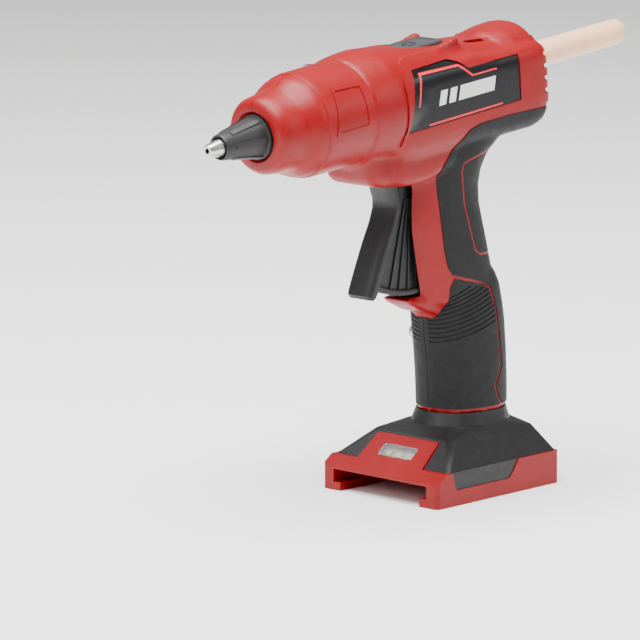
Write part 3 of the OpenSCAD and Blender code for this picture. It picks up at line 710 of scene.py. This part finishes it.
FINISHES = {
    "shell_red": red_abs, "soft_grip": soft_rubber, "hard_black": black_nylon, "side_panel": printed_film,
    "button_grey": grey_abs, "nozzle_metal": turned_nickel, "silicone": black_silicone,
    "silicone_red": red_silicone, "cast_aluminium": cast_aluminium, "ceramic_plate": fired_ceramic,
    "resin_ring": phenolic, "spring_steel": spring_steel, "machined_steel": plated_steel,
    "carriage_grey": grey_acetal, "contact_brass": stamped_brass, "lens_clear": clear_polycarbonate,
    "glue": hot_melt,
    "board_green": lambda: solder_mask("FR4, green mask", "#1f6b3c"),
    "board_white": lambda: solder_mask("FR4, white mask", "#e0e0dd"),
    "chip_black": lambda: plain("Epoxy, moulded", linear("#1c1c1e"), 0.5, 0.5, 0.02, IOR=1.55),
    "wire_red": lambda: wire_sleeve("PVC, extruded red", "#c8322c"),
    "wire_black": lambda: wire_sleeve("PVC, extruded black", "#1c1c1e"),
    "lamp": lambda: plain("Silicone over a lamp chip", linear("#ecd98a"), 0.25, 0.9, 0.01, IOR=1.5),
    "trim_red": lambda: plain("Ink, red", linear("#d0202a"), 0.4, 0.8, 0.006, IOR=1.5),
    "trim_light": lambda: plain("Ink, light grey", linear("#d9d9d6"), 0.4, 0.8, 0.006, IOR=1.5),
    "mark_dark": lambda: plain("Ink, black", linear("#17181a"), 0.45, 0.8, 0.006, IOR=1.5),
}
made = {}


def finish(slot):
    """The material of a slot or an ink, made once."""
    if slot not in made:
        made[slot] = FINISHES[slot]()
    return made[slot]


def print_on(piece, slot, body, material):
    """A piece of printing: fitted with a slot's material, which its own ink then replaces."""
    fit(piece, body, slot)
    piece.data.materials.clear()
    piece.data.materials.append(finish(material))


# ------------------------------------------------------------------ operators

forms = {}


class BuildForm(bpy.types.Operator):
    """Blends the barrel, body, chin and handle into the gun's outer form"""
    bl_idname = "glue_gun.form"
    bl_label = "Outer form"

    def execute(self, context):
        sizes = context.scene.glue_gun_sizes
        rails = [slab(RAIL, low, low + RAIL_WIDTH, 0.6, 2) for low in (-12.6, 8.8)]
        parts = [axial_loft(UPPER), axial_loft(SIDES), axial_loft(HUMP), handle_loft(HANDLE_LOW, 2.2),
                 handle_loft(HANDLE_UP, 2.0), slab(CHIN, -14.4, 14.4, 4.2, 4),
                 slab(CHEEKS, -17.8, 17.8, 4.2, 4), slab(LEDGE, -9, 9, 2.4), *rails]
        form = melt(gather("form", parts), sizes.mould_grid, 4)
        carve(form, "UNION", make(turned(BARREL), "barrel"))
        forms["outer"] = form
        forms["proud"] = swollen(form, "proud", sizes.grip_proud)
        forms["deep"] = swollen(form, "deep", -sizes.grip_depth)
        forms["print"] = swollen(form, "print", 0.26 * MM)
        forms["film"] = swollen(form, "film", 0.2 * MM)
        forms["plate"] = swollen(form, "plate", sizes.plate_proud)
        forms["hollow"] = swollen(form, "hollow", -sizes.wall, 1.5 * MM)
        forms["clear"] = swollen(form, "clear", 2 * MM)
        return {"FINISHED"}


class BuildShell(bpy.types.Operator):
    """Cuts the two moulded shell halves from the outer form"""
    bl_idname = "glue_gun.shell"
    bl_label = "Shell halves"

    def execute(self, context):
        form = forms["outer"]
        for side, name in ((1, "left"), (-1, "right")):
            shell = copy(form, "shell_" + name)
            plate = skin("plate", forms["plate"], forms["deep"], [SIDE_PLATE], side, 2)
            mark = skin("mark", forms["proud"], forms["deep"], [FRAME_OUT], side, 2)
            carve(mark, "DIFFERENCE", make(slab(FRAME_IN, -FAR, FAR), "hole"))
            carve(shell, "UNION", plate, mark)
            carve(shell, "DIFFERENCE", copy(forms["hollow"], "inside"))
            cuts = [skin("recess", forms["clear"], forms["deep"], [outline], side, -1)
                    for outline in (GRIP, LOWER_GRIP, PANEL)]
            carve(shell, "DIFFERENCE", *cuts)
            slit_y = (SLIT_Y * side - 1.4, SLIT_Y * side + 1.4)
            tools = [make(turned(MOUTH), "mouth"),
                     make(turned(INLET), "inlet"),
                     make(slab(SLOT, -SLOT_HALF, SLOT_HALF), "slot"),
                     make(block(*BUTTON_HOLE, 1.6), "opening"),
                     make(block(SLIT_S, slit_y, SLIT_Z, 1.2), "slit"),
                     make(slab(WHOLE_SIDE, *one_side(-side, -0.08)), "other half")]
            for k in range(NOTCHES):
                top = NOTCH_TOP - NOTCH_STEP * k
                tools.append(make(block((TAIL_S - 2, TAIL_S + 3.2), sorted((19.4 * side, 28 * side)),
                                        (top - NOTCH_HIGH, top), 0.6, 2), "notch"))
            if side < 0:
                tools += [make(rod(x, z, SCREW_HOLE_R, -FAR, seat), "head hole") for x, z, seat in SCREWS]
            carve(shell, "DIFFERENCE", *tools)
            fit(edge_smooth(shell), "gun_body", "shell_red", "housing_" + name)
            shell.name = "shell_" + name
        return {"FINISHED"}


class BuildGrips(bpy.types.Operator):
    """Moulds the soft grips, palm pads and ribbed lower grips"""
    bl_idname = "glue_gun.grips"
    bl_label = "Soft grips"

    def execute(self, context):
        sizes = context.scene.glue_gun_sizes
        half_rib = sizes.rib_width / MM / 2
        for side, name in ((1, "left"), (-1, "right")):
            grip = skin("grip_upper_" + name, forms["proud"], forms["deep"], [GRIP], side)
            seam = make(slab(PAD_SEAM, *one_side(side)), "seam")
            carve(grip, "DIFFERENCE", seam, make(slab(SLOT, -SLOT_HALF, SLOT_HALF), "slot"))
            pad = skin("grip_palm_" + name, forms["proud"], forms["deep"], [PAD], side)
            top = skin("grip_lower_" + name, forms["proud"], forms["outer"], [LOWER_GRIP], side)
            ribs = []
            for k in range(RIBS):
                front, rear = RIB_FRONT[0] + RIB_FRONT[1] * k, RIB_REAR[0] + RIB_REAR[1] * k
                stop = RIB_STOP_X if k < FULL_RIBS else RIB_STOP_X + (k - FULL_RIBS + 1) * RIB_SHORTER
                end = front + (rear - front) / RIB_SPAN * (RIB_FRONT_X - 2 - stop)
                outline = [(RIB_FRONT_X, front - half_rib), (RIB_FRONT_X, front + half_rib),
                           (stop, end + half_rib), (stop - 0.6, end), (stop, end - half_rib)]
                ribs.append(make(slab(outline, *one_side(side, RIB_INNER_Y)), "rib"))
            carve(top, "DIFFERENCE", *ribs)
            base = skin("base", forms["outer"], forms["deep"], [LOWER_GRIP], side)
            carve(top, "UNION", base)
            for piece, node in ((grip, "grip_"), (pad, "palm_pad_"), (top, "lower_grip_")):
                fit(edge_smooth(piece), "gun_body", "soft_grip", node + name)
            seam_fill = skin("seam_line_" + name, forms["film"], forms["deep"], [PAD_SEAM], side)
            carve(seam_fill, "DIFFERENCE", make(slab(PAD, -FAR, FAR), "pad"))
            fit(edge_smooth(seam_fill), "gun_body", "shell_red")
        return {"FINISHED"}


class BuildPanels(bpy.types.Operator):
    """Lays the printed side panels with their plain trim"""
    bl_idname = "glue_gun.panels"
    bl_label = "Side panels"

    def execute(self, context):
        for side, name in ((1, "left"), (-1, "right")):
            panel = skin("panel_film_" + name, forms["film"], forms["deep"], [PANEL], side)
            fit(edge_smooth(panel), "gun_body", "side_panel", "side_panel_" + name)
            trim = skin("panel_trim_" + name, forms["print"], forms["outer"], PANEL_TRIM, side)
            bars = skin("panel_bars_" + name, forms["print"], forms["outer"], PANEL_BARS, side)
            print_on(edge_smooth(trim), "side_panel", "gun_body", "trim_red")
            print_on(edge_smooth(bars), "side_panel", "gun_body", "trim_light")
        return {"FINISHED"}


class BuildButton(bpy.types.Operator):
    """Shapes the power button with its dished top and plain power sign"""
    bl_idname = "glue_gun.button"
    bl_label = "Power button"

    def execute(self, context):
        key = make(block(*KEY, 1.3, 4), "power_key")
        carve(key, "DIFFERENCE", make(block(*KEY_DISH, 0.3, 2), "dish"))
        carve(key, "UNION", make(block(*KEY_FLANGE, 0.3, 2), "flange"))
        fit(edge_smooth(key), "power_button", "button_grey", "power_button")
        bm = bmesh.new()
        for k in range(SIGN_STEPS + 1):
            turn = math.radians(SIGN_GAP + (360 - 2 * SIGN_GAP) * k / SIGN_STEPS)
            for radius in SIGN_RADII:
                bm.verts.new(axial(SIGN_S + radius * math.cos(turn), radius * math.sin(turn), SIGN_Z))
        bm.verts.ensure_lookup_table()
        for k in range(SIGN_STEPS):
            bm.faces.new([bm.verts[i] for i in (2 * k, 2 * k + 1, 2 * k + 3, 2 * k + 2)])
        bm.faces.new([bm.verts.new(axial(SIGN_S + s, y, SIGN_Z)) for s, y in SIGN_BAR])
        bmesh.ops.recalc_face_normals(bm, faces=bm.faces)
        extrude(bm, list(bm.faces), axial(0, 0, SIGN_HIGH) - axial(0, 0, 0))
        bmesh.ops.recalc_face_normals(bm, faces=bm.faces)
        print_on(make(bm, "power_sign"), "button_grey", "power_button", "mark_dark")
        return {"FINISHED"}


class BuildNozzle(bpy.types.Operator):
    """Turns the metal nozzle and moulds its ribbed sleeve"""
    bl_idname = "glue_gun.nozzle"
    bl_label = "Nozzle"

    def execute(self, context):
        fit(softened("nozzle_tip", "nozzle", 0.12, 32), "gun_body", "nozzle_metal", "nozzle")
        fit(softened("nozzle_boot", "nozzle_sleeve", 0.3, 32), "gun_body", "silicone", "nozzle_sleeve")
        return {"FINISHED"}


class BuildTrigger(bpy.types.Operator):
    """Shapes the crowned trigger blade, its ribbed fan and its fork"""
    bl_idname = "glue_gun.trigger"
    bl_label = "Trigger"

    def execute(self, context):
        bm = bmesh.new()
        loops = []
        for front_x, front_z, rear_x, rear_z, wide in BLADE:
            middle = Vector(((front_x + rear_x) / 2, 0, (front_z + rear_z) / 2))
            depth = Vector((front_x - rear_x, 0, front_z - rear_z)) / 2
            loops.append(ring(bm, lambda y, z, m=middle, d=depth: (m + d * z + Vector((0, y, 0))) * MM,
                              wide, 1, -1, 3.4))
        blade = make(bridge(bm, loops), "trigger_blade")
        arc = []
        for k in range(FAN_STEPS + 1):
            turn = math.radians(FAN_START + k * (FAN_SWEEP / FAN_STEPS))
            arc.append((PIVOT[0] + WEB_R * math.sin(turn), PIVOT[1] - WEB_R * math.cos(turn)))
        rim = arc + [(PIVOT[0] + (x - PIVOT[0]) * RIM_R / WEB_R, PIVOT[1] + (z - PIVOT[1]) * RIM_R / WEB_R)
                     for x, z in reversed(arc)]
        parts = [make(slab([PIVOT, *arc, *FAN_FRONT], -4.8, 4.8), "fan"),
                 make(slab(rim, -6.6, 6.6, 0.8, 3), "rim")]
        for degrees in FAN_RIBS:
            turn = math.radians(degrees)
            side = Vector((math.cos(turn), math.sin(turn))) * FAN_RIB_HALF
            along = Vector((math.sin(turn), -math.cos(turn)))
            inner, outer = Vector(PIVOT) + along * RIB_IN_R, Vector(PIVOT) + along * RIB_OUT_R
            points = [tuple(p) for p in (inner + side, inner - side, outer - side, outer + side)]
            parts.append(make(slab(points, -5.5, 5.5, 0.25, 2), "fan rib"))
        bm = traced("trigger")
        cut = bmesh.ops.bisect_plane(bm, geom=bm.verts[:] + bm.edges[:] + bm.faces[:],
                                     plane_co=(0, 0, FORK_LOW * MM), plane_no=(0, 0, -1), clear_outer=True)
        rims = [e for e in cut["geom_cut"] if isinstance(e, bmesh.types.BMEdge)]
        bmesh.ops.holes_fill(bm, edges=rims)
        bmesh.ops.triangulate(bm, faces=bm.faces)
        parts.append(make(bm, "fork"))
        carve(blade, "UNION", *parts)
        fit(edge_smooth(blade, 32), "trigger", "hard_black", "trigger")
        return {"FINISHED"}


def lean_back(point):
    """The foot's upper part sits a little behind the frame's."""
    share = min(1.0, max(0.0, (point.z / MM - LEAN_FROM) / LEAN_OVER))
    point.x -= LEAN * MM * share


class BuildFoot(bpy.types.Operator):
    """Rounds the battery foot: cover, frame and lamp window"""
    bl_idname = "glue_gun.foot"
    bl_label = "Battery foot"

    def execute(self, context):
        fit(softened("foot_top", "foot_cover", 0.55, 24, lean_back), "gun_body", "hard_black", "foot_cover")
        fit(softened("foot_frame", "foot_base", 0.5, 24), "gun_body", "shell_red", "foot_base")
        fit(softened("lamp_window", "led_lens", 0.2, 24), "gun_body", "lens_clear", "led_lens")
        return {"FINISHED"}


class BuildStick(bpy.types.Operator):
    """Extrudes the loaded glue stick with its eased ends"""
    bl_idname = "glue_gun.stick"
    bl_label = "Glue stick"

    def execute(self, context):
        low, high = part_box("glue_stick")
        front = (high.x / MM - TIP[0]) / math.cos(TILT) - 0.58
        rear = (low.x / MM - TIP[0]) / math.cos(TILT) + 0.58
        points = [(front, 0), (front, STICK_R - 0.5), (front - 0.15, STICK_R - 0.15),
                  (front - 0.5, STICK_R)]
        points += [(front - 0.5 + (rear - front + 1) * k / STICK_STEPS, STICK_R + 0.03 * math.sin(k * 2.1))
                   for k in range(1, STICK_STEPS)]
        points += [(rear + 0.5, STICK_R), (rear + 0.15, STICK_R - 0.15), (rear, STICK_R - 0.5), (rear, 0)]
        fit(make(turned(points, 64), "glue_rod"), "glue_stick", "glue", "glue_stick")
        return {"FINISHED"}


class BuildWorks(bpy.types.Operator):
    """Dresses the heater, feed, boards, wires and screws of the frame"""
    bl_idname = "glue_gun.works"
    bl_label = "Inner works"

    def execute(self, context):
        for part in frame["record"]["subparts"]:
            node = frame["nodes"][part["node"]]
            node.data.materials.clear()
            node.data.materials.append(finish(part["material_slot"]))
        return {"FINISHED"}


class BuildStage(bpy.types.Operator):
    """Sets the camera, the pale floor and the soft studio lights"""
    bl_idname = "glue_gun.stage"
    bl_label = "Stage"

    def execute(self, context):
        scene = context.scene
        turn, rise, away = math.radians(133.5), math.radians(10.3), 2.0
        flat = math.cos(rise)
        back = Vector((math.sin(turn) * flat, -math.cos(turn) * flat, math.sin(rise)))
        lens = bpy.data.cameras.new("camera")
        lens.lens, lens.sensor_width = 273.1, 36
        camera = bpy.data.objects.new("camera", lens)
        camera.location = Vector((0.0737, 0, 0.0812)) + back * away
        camera.rotation_euler = back.to_track_quat("Z", "Y").to_euler()
        scene.collection.objects.link(camera)
        scene.camera = camera

        bm = bmesh.new()
        bmesh.ops.create_circle(bm, cap_ends=True, radius=14, segments=64)
        floor = make(bm, "floor")
        floor.data.materials.append(plain("Paper, pale", picked("floor"), 0.9, 2, 0.01, 0.01, 0))

        world = bpy.data.worlds.new("studio")
        world.use_nodes = True
        world.node_tree.nodes["Background"].inputs["Color"].default_value = (1, 1, 1, 1)
        world.node_tree.nodes["Background"].inputs["Strength"].default_value = 0.42
        scene.world = world
        lamps = [("key", (0.3, 0.05, 1.5), 1.6, 95), ("fill", (1.5, -0.3, 0.9), 0.8, 8),
                 ("rim", (-0.6, 0.9, 0.7), 0.5, 3)]
        for name, place, size, power in lamps:
            light = bpy.data.lights.new(name, "AREA")
            light.shape, light.size, light.energy = "DISK", size, power
            lamp = bpy.data.objects.new(name, light)
            lamp.location = place
            aim = Vector(place) - Vector((0.04, 0, 0.12))
            lamp.rotation_euler = aim.to_track_quat("Z", "Y").to_euler()
            scene.collection.objects.link(lamp)
        return {"FINISHED"}


OPERATORS = (BuildStage, BuildWorks, BuildForm, BuildShell, BuildGrips, BuildPanels, BuildButton,
             BuildNozzle, BuildTrigger, BuildFoot, BuildStick)


class GlueGunPanel(bpy.types.Panel):
    """Lists the glue gun's pieces, sizes and colours"""
    bl_idname = "VIEW3D_PT_glue_gun"
    bl_label = "Glue Gun"
    bl_space_type = "VIEW_3D"
    bl_region_type = "UI"
    bl_category = "Glue Gun"

    def draw(self, context):
        for group in (context.scene.glue_gun_sizes, context.scene.glue_gun_colours):
            for name in type(group).__annotations__:
                self.layout.prop(group, name)
        for operator in OPERATORS:
            self.layout.operator(operator.bl_idname)


CLASSES = (GlueGunSizes, GlueGunColours, *OPERATORS, GlueGunPanel)


def register():
    for kind in CLASSES:
        bpy.utils.register_class(kind)
    bpy.types.Scene.glue_gun_sizes = bpy.props.PointerProperty(type=GlueGunSizes)
    bpy.types.Scene.glue_gun_colours = bpy.props.PointerProperty(type=GlueGunColours)


def unregister():
    del bpy.types.Scene.glue_gun_colours
    del bpy.types.Scene.glue_gun_sizes
    for kind in reversed(CLASSES):
        bpy.utils.unregister_class(kind)


def main():
    register()
    for operator in OPERATORS:
        group, name = operator.bl_idname.split(".")
        getattr(getattr(bpy.ops, group), name)()
    drop(*forms.values())


if __name__ == "__main__":
    main()
